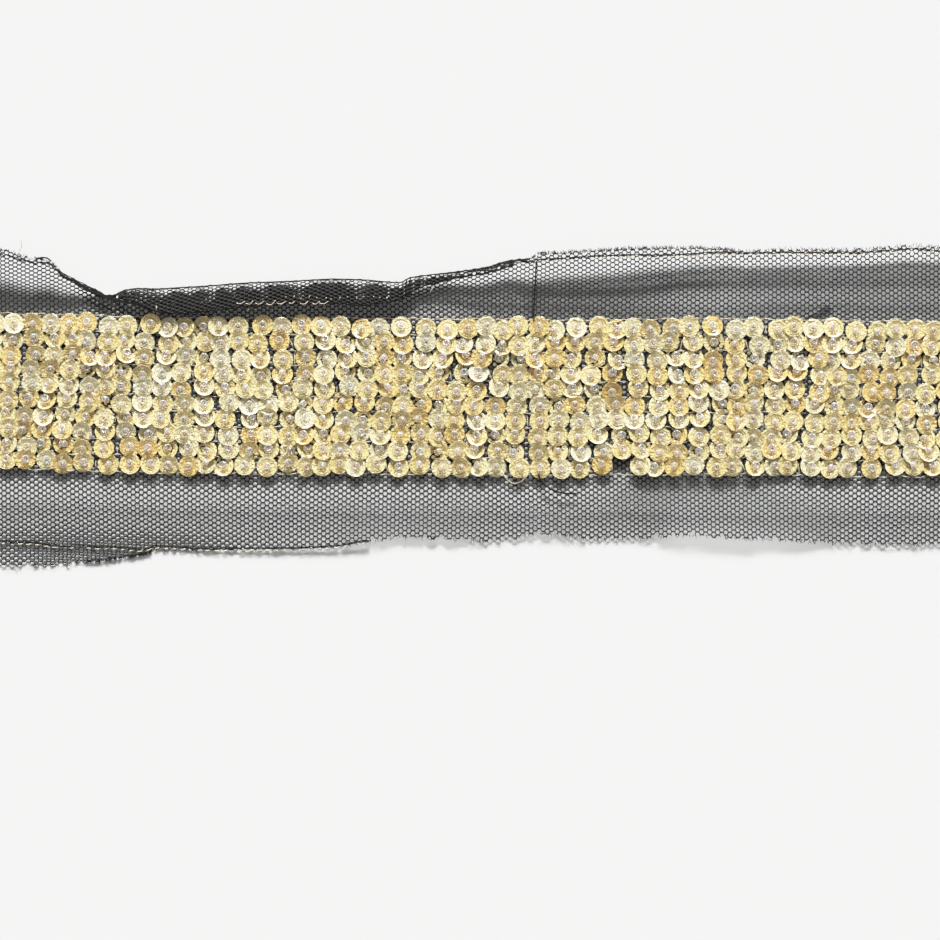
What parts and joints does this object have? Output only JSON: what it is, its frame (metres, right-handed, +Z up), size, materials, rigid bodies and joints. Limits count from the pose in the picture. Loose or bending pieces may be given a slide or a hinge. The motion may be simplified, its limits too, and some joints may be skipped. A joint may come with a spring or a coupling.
{
  "type": "beaded sequin trim on a tulle ground",
  "caption": "Cut length of trim lying flat: rows of beaded cup sequins sewn on a black tulle ground, with raw margins, the upper one partly folded over.",
  "frame": {"origin": "middle of the trim's length and width, on the surface that it lies on", "axes": "+X along the trim, +Y across it towards the folded upper margin, +Z up, out of the sequinned face"},
  "size_m": [0.23, 0.0712, 0.0043],
  "materials": {
    "tulle": "matt black polyester tulle with hexagonal holes of about 1 mm",
    "sequins": "metallised pale champagne gold cups with a glossy face",
    "beads": "clear seed beads with a faint rainbow coating",
    "thread": "fine cream and black sewing thread"
  },
  "bodies": {
    "root": {"tulle_ground": "tulle", "sequin_row_01": "sequins", "sequin_row_02": "sequins", "sequin_row_03": "sequins", "sequin_row_04": "sequins", "sequin_row_05": "sequins", "sequin_row_06": "sequins", "sequin_row_07": "sequins", "sequin_row_08": "sequins", "sequin_row_09": "sequins", "sequin_row_10": "sequins"}
  },
  "joints": []
}
